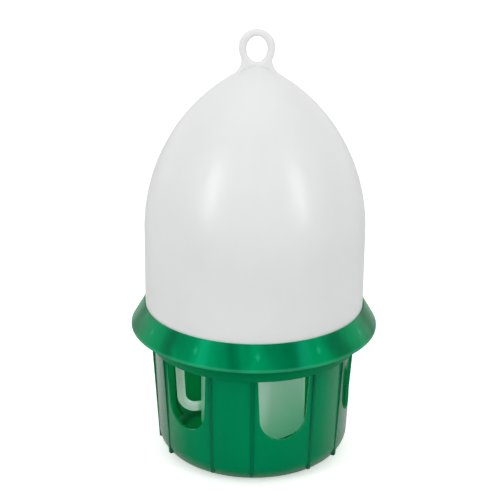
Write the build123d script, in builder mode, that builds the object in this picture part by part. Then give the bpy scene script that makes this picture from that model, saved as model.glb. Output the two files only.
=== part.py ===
from build123d import *
import math
import os

os.makedirs("parts", exist_ok=True)

# ---------------------------------------------------------------- dimensions
# Frame: origin at the centre of the standing face, +Z up, -Y is the front.

# bowl
base_r = 82.4
wall_draft = 2.8
corner_r = 18.5
bowl_wall = 2.2
cone_r = 36.0
cone_h = 8.0

# feeding windows, notched into the bowl wall
window_count = 6
window_phase = 17.8
window_sill = 42.9
window_sill_r = 20.5
window_draft = 3.5

# upright ribs beside the windows
rib_offset = 18.0
rib_w = 2.3
rib_low = 7.6
rib_proud_low = 0.4
rib_proud_top = 1.9
rib_foot_r = 1.0

# canopy ring
collar_low = 100.6
collar_gap = 0.3
collar_wall = 2.2
deck_top = 115.3
deck_t = 2.4
deck_hole_r = 75.0
seat_gap = 0.5
seat_wall = 2.2
skirt_top = 136.6
skirt_edge = 0.9
skirt_r = 106.4
skirt_low = 115.9
skirt_lip_h = 2.0
skirt_t = 2.0
web_count = 12
web_phase = 2.0
web_t = 1.6

# reservoir
body_r = 94.0
ogive_start = 203.1
ogive_tip = 346.1
nose_r = 9.0
shell = 1.5
heel_r = 7.0
rest_clear = 1.5
neck_r = 46.0
neck_mouth = 22.1
neck_top = 91.1
neck_blend = 8.0

# hanging eye
eye_r = 15.0
eye_z = 359.4
eye_t = 6.5
eye_edge = 2.6
eye_hole_z = 357.9
eye_hole_x = 8.6
eye_hole_h = 10.8
eye_waist = 12.7
eye_waist_z = 348.6
eye_flare = 20.0
eye_flare_z = 335.1

# side loop beside the neck
loop_w = 7.2
loop_t = 8.0
loop_x_top = -67.0
loop_x_low = -62.9
loop_low_z = 30.5
loop_join_z = 33.9
loop_top_z = 109.1
loop_bend = 11.5
loop_edge = 2.4

# ---------------------------------------------------------------- derived
slope = math.tan(math.radians(wall_draft))
post_top = deck_top - deck_t


def wall_r(z):
    """Outer radius of the bowl's drafted wall at height z."""
    return base_r + slope * z


def upright(deg):
    """Upright plane through the axis, its normal turned deg from the front towards +X."""
    turn = math.radians(deg)
    return Plane(
        origin=(0, 0, 0),
        x_dir=(math.cos(turn), math.sin(turn), 0),
        z_dir=(math.sin(turn), -math.cos(turn), 0),
    )


window_angles = [window_phase + i * 360 / window_count for i in range(window_count)]
rib_angles = [a + s * rib_offset for a in window_angles for s in (-1, 1)]
web_angles = [web_phase + i * 360 / web_count for i in range(web_count)]
sill_centre = window_sill + window_sill_r
window_side = math.radians(window_draft)
window_side_x = window_sill_r * math.cos(window_side)
window_side_z = sill_centre - window_sill_r * math.sin(window_side)
window_top_x = window_side_x + (post_top - window_side_z) * math.tan(window_side)
inner_base_r = wall_r(bowl_wall) - bowl_wall
rib_foot_x = wall_r(rib_low) + rib_proud_low

collar_in = wall_r(post_top) + collar_gap
collar_out = collar_in + collar_wall
seat_in = body_r + seat_gap
seat_out = seat_in + seat_wall
lip_top = skirt_low + skirt_lip_h
skirt_run = skirt_r - seat_in - skirt_edge
skirt_fall = skirt_top - lip_top
skirt_wall_x = skirt_t * math.hypot(skirt_run, skirt_fall) / skirt_fall


def skirt_out(z):
    """Outer radius of the skirt's cone at height z."""
    return skirt_r - skirt_run * (z - lip_top) / skirt_fall


def skirt_z(r):
    """Height at which the inside of the skirt's cone has radius r."""
    return lip_top + (skirt_r - skirt_wall_x - r) * skirt_fall / skirt_run


ogive_rise = ogive_tip - ogive_start
ogive_r = (body_r**2 + ogive_rise**2) / (2 * body_r)
ogive_sweep = math.degrees(math.asin(ogive_rise / ogive_r))
rest_r = deck_hole_r - rest_clear

# ---------------------------------------------------------------- bowl
with BuildPart() as bowl:
    # outer form: flat standing face, rounded corner, drafted wall
    with BuildSketch(Plane.XZ) as bowl_outer:
        with BuildLine():
            Polyline(
                (0, 0),
                (base_r, 0),
                (wall_r(post_top), post_top),
                (0, post_top),
                close=True,
            )
        make_face()
        heel = bowl_outer.vertices().sort_by_distance((base_r, 0, 0))[0]
        fillet(heel, corner_r)
    revolve(axis=Axis.Z)

    # straight ribs up to the collar; their feet stand out where the wall rounds off
    for a in rib_angles:
        with BuildSketch(upright(a - 90)) as rib:
            with BuildLine():
                Polyline(
                    (0, rib_low),
                    (rib_foot_x, rib_low),
                    (wall_r(collar_low) + rib_proud_top, collar_low),
                    (0, collar_low),
                    close=True,
                )
            make_face()
            rib_foot = rib.vertices().sort_by_distance((rib_foot_x, rib_low, 0))[0]
            fillet(rib_foot, rib_foot_r)
        extrude(amount=rib_w / 2, both=True)

    # inside of the bowl, with a low cone in the floor
    with BuildSketch(Plane.XZ) as bowl_inner:
        with BuildLine():
            Polyline(
                (0, bowl_wall + cone_h),
                (cone_r, bowl_wall),
                (inner_base_r, bowl_wall),
                (wall_r(post_top) - bowl_wall, post_top),
                (wall_r(post_top) - bowl_wall, post_top + 1),
                (0, post_top + 1),
                close=True,
            )
        make_face()
        inner_heel = bowl_inner.vertices().sort_by_distance((inner_base_r, bowl_wall, 0))[0]
        fillet(inner_heel, corner_r - bowl_wall)
    revolve(axis=Axis.Z, mode=Mode.SUBTRACT)

    # hollow under the cone
    with BuildSketch(Plane.XZ):
        with BuildLine():
            Polyline(
                (0, 0),
                (cone_r, 0),
                (0, cone_h),
                close=True,
            )
        make_face()
    revolve(axis=Axis.Z, mode=Mode.SUBTRACT)

    # feeding windows: notches with round sills, wider upwards and open at the top of the wall
    for a in window_angles:
        with BuildSketch(upright(a)):
            with Locations((0, sill_centre)):
                Circle(window_sill_r)
            with BuildLine():
                Polyline(
                    (-window_side_x, window_side_z),
                    (window_side_x, window_side_z),
                    (window_top_x, post_top),
                    (-window_top_x, post_top),
                    close=True,
                )
            make_face()
        extrude(amount=2 * base_r, mode=Mode.SUBTRACT)

bowl.part.label = "bowl"
export_step(bowl.part, "parts/bowl.step")

# ---------------------------------------------------------------- canopy ring
with BuildPart() as canopy_ring:
    # section: seat cup, sloping skirt with a lip, deck and collar
    with BuildSketch(Plane.XZ) as ring_section:
        with BuildLine():
            Polyline(
                (seat_in, deck_top),
                (seat_in, skirt_top),
                (seat_in + skirt_edge, skirt_top),
                (skirt_r, lip_top),
                (skirt_r, skirt_low),
                (skirt_r - skirt_wall_x, skirt_low),
                (skirt_r - skirt_wall_x, lip_top),
                (seat_out, skirt_z(seat_out)),
                (seat_out, post_top),
                (collar_out, post_top),
                (collar_out, collar_low),
                (collar_in, collar_low),
                (collar_in, post_top),
                (deck_hole_r, post_top),
                (deck_hole_r, deck_top),
                close=True,
            )
        make_face()
        lip = ring_section.vertices().sort_by_distance((skirt_r, skirt_low, 0))[0:2]
        fillet(lip, skirt_lip_h * 0.45)
    revolve(axis=Axis.Z)

    # webs stiffen the skirt from below
    for a in web_angles:
        with BuildSketch(upright(a - 90)) as web:
            with BuildLine():
                Polyline(
                    (seat_out - 1, lip_top + 1),
                    (skirt_out(lip_top + 1) - 1, lip_top + 1),
                    (skirt_out(skirt_z(seat_out)) - 1, skirt_z(seat_out)),
                    (seat_out - 1, skirt_z(seat_out)),
                    close=True,
                )
            make_face()
        extrude(amount=web_t / 2, both=True)

canopy_ring.part.label = "canopy_ring"
export_step(canopy_ring.part, "parts/canopy_ring.step")


# ---------------------------------------------------------------- reservoir
def reservoir_half(inset):
    """Half of the reservoir's upright section, drawn in by the wall thickness."""
    mouth = neck_mouth - 2 * inset
    with BuildSketch(Plane.XZ) as half:
        with BuildLine():
            Polyline(
                (0, mouth),
                (neck_r, mouth),
                (neck_r, neck_top),
                (rest_r, deck_top),
                (body_r, deck_top),
                (body_r, ogive_start),
            )
            JernArc((body_r, ogive_start), (0, 1), ogive_r, ogive_sweep)
            mirror(about=Plane.YZ)
        make_face()
        tip = half.vertices().sort_by(Axis.Y)[-1]
        fillet(tip, nose_r)
        neck_root = half.vertices().filter_by_position(Axis.Y, neck_top - 1, neck_top + 1)
        fillet(neck_root, neck_blend)
        heels = half.vertices().filter_by_position(Axis.Y, deck_top - 0.1, deck_top + 0.1)
        fillet(heels.sort_by(Axis.X)[-1], heel_r)
        heels = half.vertices().filter_by_position(Axis.Y, deck_top - 0.1, deck_top + 0.1)
        fillet(heels.sort_by(Axis.X)[0], heel_r)
        if inset:
            offset(amount=-inset, kind=Kind.INTERSECTION)
        Rectangle(4 * body_r, 4 * ogive_tip, align=(Align.MAX, Align.CENTER), mode=Mode.SUBTRACT)
    return half.sketch


# flat eye with rounded edges, standing on the reservoir's nose
with BuildPart() as hanging_eye:
    with BuildSketch(Plane.XZ) as eye:
        with BuildLine():
            CenterArc((0, eye_z), eye_r, 0, 90)
            Spline(
                (eye_r, eye_z),
                (eye_waist, eye_waist_z),
                (eye_flare, eye_flare_z),
                tangents=((0, -1), (1, -1)),
            )
            Line((eye_flare, eye_flare_z), (0, eye_flare_z))
            mirror(about=Plane.YZ)
        make_face()
        with Locations((0, eye_hole_z)):
            Ellipse(eye_hole_x, eye_hole_h, mode=Mode.SUBTRACT)
    extrude(amount=eye_t / 2, both=True)
    face_edges = hanging_eye.faces().sort_by(Axis.Y)[0].edges()
    face_edges += hanging_eye.faces().sort_by(Axis.Y)[-1].edges()
    fillet(face_edges.filter_by_position(Axis.Z, eye_flare_z + 1, eye_z + 2 * eye_r), eye_edge)

# bar that runs down beside the neck and round to it
with BuildPart() as side_loop:
    with BuildSketch(Plane.XZ) as loop:
        with BuildLine():
            run = Polyline(
                (loop_x_top, loop_top_z),
                (loop_x_low, loop_low_z),
                (-neck_r + shell, loop_join_z),
            )
            fillet(run.vertices().sort_by_distance((loop_x_low, loop_low_z, 0))[0], loop_bend)
            offset(amount=loop_w / 2, side=Side.BOTH, kind=Kind.INTERSECTION)
        make_face()
    extrude(amount=loop_t / 2, both=True)
    long_edges = side_loop.faces().sort_by(Axis.Y)[0].edges()
    long_edges += side_loop.faces().sort_by(Axis.Y)[-1].edges()
    fillet(long_edges, loop_edge)

with BuildPart() as reservoir:
    # outer form: round-nosed body, sloping shoulder and wide neck
    revolve(reservoir_half(0), axis=Axis.Z)

    # flat hanging eye on the nose
    add(hanging_eye.part)

    # side loop from the shoulder round to the neck
    add(side_loop.part)

    # inside of the shell
    revolve(reservoir_half(shell), axis=Axis.Z, mode=Mode.SUBTRACT)

reservoir.part.label = "reservoir"
export_step(reservoir.part, "parts/reservoir.step")
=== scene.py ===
import math

import bpy
from mathutils import Matrix, Vector

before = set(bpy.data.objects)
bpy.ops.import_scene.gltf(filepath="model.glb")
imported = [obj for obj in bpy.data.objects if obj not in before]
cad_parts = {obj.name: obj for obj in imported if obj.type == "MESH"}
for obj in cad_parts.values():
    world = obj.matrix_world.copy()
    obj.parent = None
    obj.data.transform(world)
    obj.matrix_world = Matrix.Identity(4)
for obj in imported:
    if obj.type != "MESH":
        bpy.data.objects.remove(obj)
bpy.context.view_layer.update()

scene = bpy.context.scene

# ---------------------------------------------------------------- where things are on the body
# angles in degrees, turned from the front towards the right; lengths in metres
WINDOWS = 6
WINDOW_PHASE = 17.8
RIB_OFFSET = 18.0
RIB_HALF_WIDTH = 0.00115
RIB_FOOT_RADII = (0.070, 0.076)
WEBS = 12
WEB_PHASE = 2.0
# where the sink marks sit on the skirt, each with a painted highlight
SINK_MARK_AND_GLINT_RADIUS = 0.1005
# the painted highlight along the skirt's rim
RIM_HIGHLIGHT_RADII = (0.1056, 0.1063)
COLLAR_EDGE_RADII = (0.0915, 0.0930)
NECK_EDGE_RADII = (0.047, 0.050)
BAR_BEND_HEIGHTS = (0.034, 0.062)
BOWL_TOP_HEIGHTS = (0.100, 0.112)

# ---------------------------------------------------------------- light and camera
FRONT_LIGHT = 0.51
BACK_LIGHT = 0.62
TOP_LIGHT = 0.40
BACKDROP = 1.0
BOX_PLACE = (1.35, -1.15, 0.9)
BOX_AIM = Vector((0.0, 0.0, 0.25))
BOX_WIDTH = 0.3
BOX_HEIGHT = 1.0
LEFT_POWER = 8.5
RIGHT_POWER = 7.5
FLOOR_HALF = 14.0

PITCH = math.radians(20.82)
ROLL = math.radians(0.66)
DISTANCE = 1.2856
AIM = Vector((0.0, 0.0, 0.1824))
LENS = 108.0
SENSOR = 36.0
SHIFT = -0.00932


# ---------------------------------------------------------------- node helpers
def new_material(name):
    """A new node material, its node tree and its principled shader."""
    material = bpy.data.materials.new(name)
    material.use_nodes = True
    return material, material.node_tree, material.node_tree.nodes["Principled BSDF"]


def add_node(tree, kind, **values):
    new = tree.nodes.new(kind)
    for name, value in values.items():
        setattr(new, name, value)
    return new


def feed(tree, value, socket):
    """Links another node's output to a socket, or sets the socket to a number or a colour."""
    if isinstance(value, bpy.types.NodeSocket):
        tree.links.new(value, socket)
    elif socket.type == "RGBA":
        socket.default_value = (*value, 1.0)
    else:
        socket.default_value = value


def math_node(tree, operation, *values):
    new = add_node(tree, "ShaderNodeMath", operation=operation)
    for socket, value in zip(new.inputs, values):
        feed(tree, value, socket)
    return new.outputs[0]


def add(tree, first, second):
    return math_node(tree, "ADD", first, second)


def subtract(tree, first, second):
    return math_node(tree, "SUBTRACT", first, second)


def multiply(tree, first, second):
    return math_node(tree, "MULTIPLY", first, second)


def absolute(tree, value):
    return math_node(tree, "ABSOLUTE", value)


def ramp(tree, value, low, high, start, end):
    """start below low, end above high, and a straight run between them."""
    new = add_node(tree, "ShaderNodeMapRange")
    feed(tree, value, new.inputs["Value"])
    for name, limit in (("From Min", low), ("From Max", high), ("To Min", start), ("To Max", end)):
        new.inputs[name].default_value = limit
    return new.outputs["Result"]


def mix_colour(tree, share, first, second):
    new = add_node(tree, "ShaderNodeMix", data_type="RGBA")
    colours = [socket for socket in new.inputs if socket.type == "RGBA"]
    feed(tree, share, new.inputs["Factor"])
    feed(tree, first, colours[0])
    feed(tree, second, colours[1])
    return [socket for socket in new.outputs if socket.type == "RGBA"][0]


def mix_shader(tree, share, first, second):
    new = add_node(tree, "ShaderNodeMixShader")
    feed(tree, share, new.inputs["Fac"])
    tree.links.new(first, new.inputs[1])
    tree.links.new(second, new.inputs[2])
    return new.outputs["Shader"]


def noise(tree, where, scale, detail, roughness, distortion=0.0):
    new = add_node(tree, "ShaderNodeTexNoise")
    settings = {"Scale": scale, "Detail": detail, "Roughness": roughness, "Distortion": distortion}
    for name, value in settings.items():
        new.inputs[name].default_value = value
    tree.links.new(where, new.inputs["Vector"])
    return new.outputs["Fac"]


def stretched_noise(tree, where, stretch, detail, roughness, distortion=0.0):
    """Noise with its own scale along each axis."""
    mapping = add_node(tree, "ShaderNodeMapping")
    mapping.inputs["Scale"].default_value = stretch
    tree.links.new(where, mapping.inputs["Vector"])
    return noise(tree, mapping.outputs["Vector"], 1.0, detail, roughness, distortion)


def bump(tree, height, strength, distance, normal=None):
    new = add_node(tree, "ShaderNodeBump")
    new.inputs["Strength"].default_value = strength
    new.inputs["Distance"].default_value = distance
    tree.links.new(height, new.inputs["Height"])
    if normal is not None:
        tree.links.new(normal, new.inputs["Normal"])
    return new.outputs["Normal"]


def softened_edges(tree, radius):
    """A shading normal that softens the sharp edges of a moulding."""
    new = add_node(tree, "ShaderNodeBevel", samples=4)
    new.inputs["Radius"].default_value = radius
    return new.outputs["Normal"]


def split(tree, vector):
    new = add_node(tree, "ShaderNodeSeparateXYZ")
    tree.links.new(vector, new.inputs[0])
    return new.outputs["X"], new.outputs["Y"], new.outputs["Z"]


def object_place(tree):
    """Object coordinates, which are metres in the frame of the whole object at rest."""
    return add_node(tree, "ShaderNodeTexCoord").outputs["Object"]


def radius_of(tree, x, y):
    """Distance from the upright axis."""
    return math_node(tree, "SQRT", add(tree, multiply(tree, x, x), multiply(tree, y, y)))


def from_nearest(tree, angle, phase, count):
    """Angle in radians to the nearest of a ring of evenly spaced directions."""
    pitch = 2 * math.pi / count
    # two turns are added, so that the modulo never sees a negative angle
    turned = subtract(tree, angle, math.radians(phase) - pitch / 2 - 4 * math.pi)
    return absolute(tree, subtract(tree, math_node(tree, "MODULO", turned, pitch), pitch / 2))


# ---------------------------------------------------------------- white plastic
def bowl_glow(tree, shader, x, y, z):
    """Faint emission in place of the green light that the bowl's wall throws on what stands in it.

    It goes by height in the world, so the neck and the side bar are white when they are lifted out.
    """
    position = add_node(tree, "ShaderNodeNewGeometry").outputs["Position"]
    in_bowl = ramp(tree, split(tree, position)[2], *BOWL_TOP_HEIGHTS, 1.0, 0.0)
    radius = radius_of(tree, x, y)
    neck = multiply(tree, ramp(tree, radius, *NECK_EDGE_RADII, 1.0, 0.0), in_bowl)
    bar = multiply(tree, ramp(tree, radius, *NECK_EDGE_RADII, 0.0, 1.0), in_bowl)
    bend = ramp(tree, z, *BAR_BEND_HEIGHTS, 1.9, 1.0)
    glow = add(tree, multiply(tree, neck, 0.13), multiply(tree, multiply(tree, bar, bend), 0.16))
    tree.links.new(glow, shader.inputs["Emission Strength"])
    tint = mix_colour(tree, bar, (0.16, 1.0, 0.56), (0.80, 1.0, 0.90))
    tree.links.new(tint, shader.inputs["Emission Color"])


def white_plastic():
    """Milky blow-moulded plastic: satin, faintly mottled, with a parting line and light scuffs."""
    material, tree, shader = new_material("milky_plastic")
    where = object_place(tree)
    x, y, z = split(tree, where)
    cloud = noise(tree, where, 14.0, 3.0, 0.5)
    grain = noise(tree, where, 900.0, 2.0, 0.5)
    streak = stretched_noise(tree, where, (60.0, 60.0, 5.0), 3.0, 0.6)
    scuff = stretched_noise(tree, where, (40.0, 40.0, 220.0), 6.0, 0.7, 0.4)

    base = mix_colour(tree, ramp(tree, cloud, 0.3, 0.7, 0.0, 1.0), (0.80, 0.80, 0.80), (0.84, 0.84, 0.84))
    base = mix_colour(tree, ramp(tree, scuff, 0.64, 0.8, 0.0, 0.2), base, (0.74, 0.74, 0.73))
    tree.links.new(base, shader.inputs["Base Color"])
    satin = ramp(tree, streak, 0.2, 0.8, 0.27, 0.35)
    rough = add(tree, satin, ramp(tree, scuff, 0.6, 0.8, 0.0, 0.12))
    tree.links.new(rough, shader.inputs["Roughness"])
    shader.inputs["Subsurface Weight"].default_value = 0.35
    shader.inputs["Subsurface Radius"].default_value = (1.0, 0.98, 0.94)
    shader.inputs["Subsurface Scale"].default_value = 0.004
    shader.inputs["IOR"].default_value = 1.5
    bowl_glow(tree, shader, x, y, z)

    parting_line = ramp(tree, absolute(tree, y), 0.0001, 0.0005, 1.0, 0.0)
    height = add(tree, parting_line, multiply(tree, cloud, 1.2))
    relief = bump(tree, height, 0.35, 0.0004)
    tree.links.new(bump(tree, grain, 0.08, 0.0002, relief), shader.inputs["Normal"])
    return material


# ---------------------------------------------------------------- green plastic
def skirt_look(tree, where, angle, radius, cloud):
    """Colour with painted light and shade, relief and share of light let through, for the ring with its
    webs underneath.
    """
    turn = subtract(tree, angle, math.radians(WEB_PHASE))
    uneven = stretched_noise(tree, where, (22.0, 22.0, 2.0), 3.0, 0.6, 0.3)
    wobble = multiply(tree, subtract(tree, uneven, 0.5), 9.0)
    wave = math_node(tree, "COSINE", add(tree, multiply(tree, turn, WEBS), wobble))
    # painted light and shade: bright and dark lobes in a ring of twelve keyed to the webs, for the light
    # let through the skirt
    lobe_light_and_shade = ramp(tree, wave, -1.0, 1.0, 0.0, 1.0)
    base = mix_colour(tree, lobe_light_and_shade, (0.000, 0.165, 0.063), (0.000, 0.325, 0.122))

    # sink marks where the webs meet the skirt: a dent in the relief, and a painted highlight on each in
    # the colour
    across = multiply(tree, from_nearest(tree, angle, WEB_PHASE, WEBS), 0.1)
    along = absolute(tree, subtract(tree, radius, SINK_MARK_AND_GLINT_RADIUS))
    sink_mark_and_glint = ramp(tree, add(tree, across, multiply(tree, along, 1.1)), 0.0004, 0.0030, 0.42, 0.0)
    base = mix_colour(tree, sink_mark_and_glint, base, (0.040, 0.620, 0.330))
    # painted highlight along the rim's edge
    rim_highlight = ramp(tree, radius, *RIM_HIGHLIGHT_RADII, 0.0, 0.35)
    base = mix_colour(tree, rim_highlight, base, (0.060, 0.560, 0.300))
    # painted shade: the collar lies in the shadow of the skirt and gets one even colour
    collar_shade = ramp(tree, radius, *COLLAR_EDGE_RADII, 1.0, 0.0)
    base = mix_colour(tree, collar_shade, base, (0.000, 0.235, 0.088))

    height = add(tree, cloud, multiply(tree, wave, 0.35))
    height = subtract(tree, height, multiply(tree, sink_mark_and_glint, 0.6))
    return base, height, 0.2


def wall_look(tree, where, angle, radius, cloud):
    """Colour, relief and share of light let through, for the bowl with its ribs."""
    flow = stretched_noise(tree, where, (30.0, 30.0, 8.0), 4.0, 0.6, 0.6)
    streaks = ramp(tree, flow, 0.3, 0.7, 0.0, 1.0)
    base = mix_colour(tree, streaks, (0.000, 0.240, 0.122), (0.000, 0.285, 0.149))

    # the ribs are the thickest part of the wall, so less light comes through them
    from_window = from_nearest(tree, angle, WINDOW_PHASE, WINDOWS)
    from_rib = absolute(tree, subtract(tree, from_window, math.radians(RIB_OFFSET)))
    aside = multiply(tree, from_rib, radius)
    rib = ramp(tree, aside, RIB_HALF_WIDTH, RIB_HALF_WIDTH * 1.7, 1.0, 0.0)
    rib = multiply(tree, rib, ramp(tree, radius, *RIB_FOOT_RADII, 0.0, 0.62))
    base = mix_colour(tree, rib, base, (0.000, 0.085, 0.034))
    return base, cloud, ramp(tree, rib, 0.0, 1.0, 0.47, 0.05)


def polished(tree, under, normal):
    """A clear gloss over a shader, which turns it into a pale mirror where it is seen edge on."""
    gloss = add_node(tree, "ShaderNodeBsdfGlossy")
    gloss.inputs["Roughness"].default_value = 0.22
    tree.links.new(normal, gloss.inputs["Normal"])
    fresnel = add_node(tree, "ShaderNodeFresnel")
    fresnel.inputs["IOR"].default_value = 1.5
    share = ramp(tree, fresnel.outputs["Fac"], 0.06, 0.35, 0.0, 0.6)
    return mix_shader(tree, share, under, gloss.outputs["BSDF"])


def green_plastic(name, look, specular, lit_colour, is_polished):
    """Glossy green moulding that lets light through; look gives what is particular to the piece."""
    material, tree, shader = new_material(name)
    where = object_place(tree)
    x, y = split(tree, where)[:2]
    angle = math_node(tree, "ARCTAN2", x, multiply(tree, y, -1.0))
    cloud = noise(tree, where, 16.0, 4.0, 0.55)
    grain = noise(tree, where, 700.0, 2.0, 0.5)
    scuff = stretched_noise(tree, where, (160.0, 160.0, 50.0), 6.0, 0.75, 0.3)
    base, height, share = look(tree, where, angle, radius_of(tree, x, y), cloud)

    tree.links.new(base, shader.inputs["Base Color"])
    gloss = ramp(tree, cloud, 0.3, 0.7, 0.14, 0.22)
    rough = add(tree, gloss, ramp(tree, scuff, 0.6, 0.8, 0.0, 0.15))
    tree.links.new(rough, shader.inputs["Roughness"])
    shader.inputs["IOR"].default_value = 1.49
    shader.inputs["Specular IOR Level"].default_value = specular
    shader.inputs["Specular Tint"].default_value = (0.0, 0.55, 0.32, 1.0)
    relief = bump(tree, height, 0.25, 0.0006, softened_edges(tree, 0.0006))
    tree.links.new(bump(tree, grain, 0.05, 0.0002, relief), shader.inputs["Normal"])

    through = add_node(tree, "ShaderNodeBsdfTranslucent")
    through.inputs["Color"].default_value = (*lit_colour, 1.0)
    surface = mix_shader(tree, share, shader.outputs["BSDF"], through.outputs["BSDF"])
    if is_polished:
        surface = polished(tree, surface, relief)
    tree.links.new(surface, tree.nodes["Material Output"].inputs["Surface"])
    return material


def dress(name, material):
    """Gives a CAD node its material and smooth shading."""
    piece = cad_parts[name]
    piece.data.materials.clear()
    piece.data.materials.append(material)
    for polygon in piece.data.polygons:
        polygon.use_smooth = True


green_bowl = green_plastic("green_bowl", wall_look, 0.5, (0.01, 0.95, 0.43), True)
green_ring = green_plastic("green_ring", skirt_look, 0.36, (0.01, 0.95, 0.36), False)
dress("reservoir", white_plastic())
dress("bowl", green_bowl)
dress("canopy_ring", green_ring)


# ---------------------------------------------------------------- studio
def pale_floor():
    """A white floor, made brighter for the camera alone, so that it runs into the backdrop."""
    mesh = bpy.data.meshes.new("floor")
    corners = [(-1, -1), (1, -1), (1, 1), (-1, 1)]
    mesh.from_pydata([(x * FLOOR_HALF, y * FLOOR_HALF, 0.0) for x, y in corners], [], [(0, 1, 2, 3)])
    floor = bpy.data.objects.new("floor", mesh)
    scene.collection.objects.link(floor)

    material, tree, shader = new_material("pale_floor")
    seen = add_node(tree, "ShaderNodeLightPath").outputs["Is Camera Ray"]
    shader.inputs["Roughness"].default_value = 0.6
    shader.inputs["Emission Color"].default_value = (1.0, 1.0, 1.0, 1.0)
    tree.links.new(ramp(tree, seen, 0.0, 1.0, 0.0, 0.45), shader.inputs["Emission Strength"])
    base = mix_colour(tree, seen, (0.6, 0.6, 0.6), (0.9, 0.9, 0.9))
    tree.links.new(base, shader.inputs["Base Color"])
    floor.data.materials.append(material)


def studio_world():
    """Soft white room: brighter behind and above, dimmer at the front, and white to the camera."""
    world = bpy.data.worlds.new("studio")
    world.use_nodes = True
    tree = world.node_tree
    y, z = split(tree, add_node(tree, "ShaderNodeTexCoord").outputs["Generated"])[1:]
    depth = ramp(tree, y, -0.6, 0.6, FRONT_LIGHT, BACK_LIGHT)
    room = add(tree, depth, ramp(tree, z, 0.1, 0.9, 0.0, TOP_LIGHT))
    ray = add_node(tree, "ShaderNodeLightPath")
    # glossy surfaces mirror the bright backdrop behind the object
    mirrored = multiply(tree, ray.outputs["Is Glossy Ray"], ramp(tree, y, 0.0, 0.5, 0.0, BACKDROP))
    strength = math_node(tree, "MAXIMUM", room, mirrored)
    strength = math_node(tree, "MAXIMUM", strength, ray.outputs["Is Camera Ray"])
    background = tree.nodes["Background"]
    tree.links.new(strength, background.inputs["Strength"])
    background.inputs["Color"].default_value = (1.0, 1.0, 1.0, 1.0)
    scene.world = world


def soft_box(name, side, power):
    """A tall rectangular light in front of the object, at its left (-1) or its right (1)."""
    light = bpy.data.lights.new(name, "AREA")
    light.energy = power
    light.shape = "RECTANGLE"
    light.size = BOX_WIDTH
    light.size_y = BOX_HEIGHT
    box = bpy.data.objects.new(name, light)
    box.location = (side * BOX_PLACE[0], BOX_PLACE[1], BOX_PLACE[2])
    box.rotation_euler = (BOX_AIM - Vector(box.location)).to_track_quat("-Z", "Y").to_euler()
    scene.collection.objects.link(box)


def look_down_camera():
    """A camera in front of the object that looks down at it, rolled a little."""
    back = Vector((0.0, -math.cos(PITCH), math.sin(PITCH)))
    level = Vector((1.0, 0.0, 0.0))
    upright = back.cross(level)
    right = level * math.cos(ROLL) + upright * math.sin(ROLL)
    up = upright * math.cos(ROLL) - level * math.sin(ROLL)
    lens = bpy.data.cameras.new("camera")
    lens.lens = LENS
    lens.sensor_width = SENSOR
    lens.shift_x = SHIFT
    lens.clip_start = 0.05
    lens.clip_end = 60.0
    lens.dof.use_dof = False
    camera = bpy.data.objects.new("camera", lens)
    pose = Matrix((right, up, back)).transposed().to_4x4()
    pose.translation = AIM + back * DISTANCE
    camera.matrix_world = pose
    scene.collection.objects.link(camera)
    scene.camera = camera


pale_floor()
studio_world()
soft_box("box_left", -1, LEFT_POWER)
soft_box("box_right", 1, RIGHT_POWER)
look_down_camera()
scene.view_settings.view_transform = "Standard"
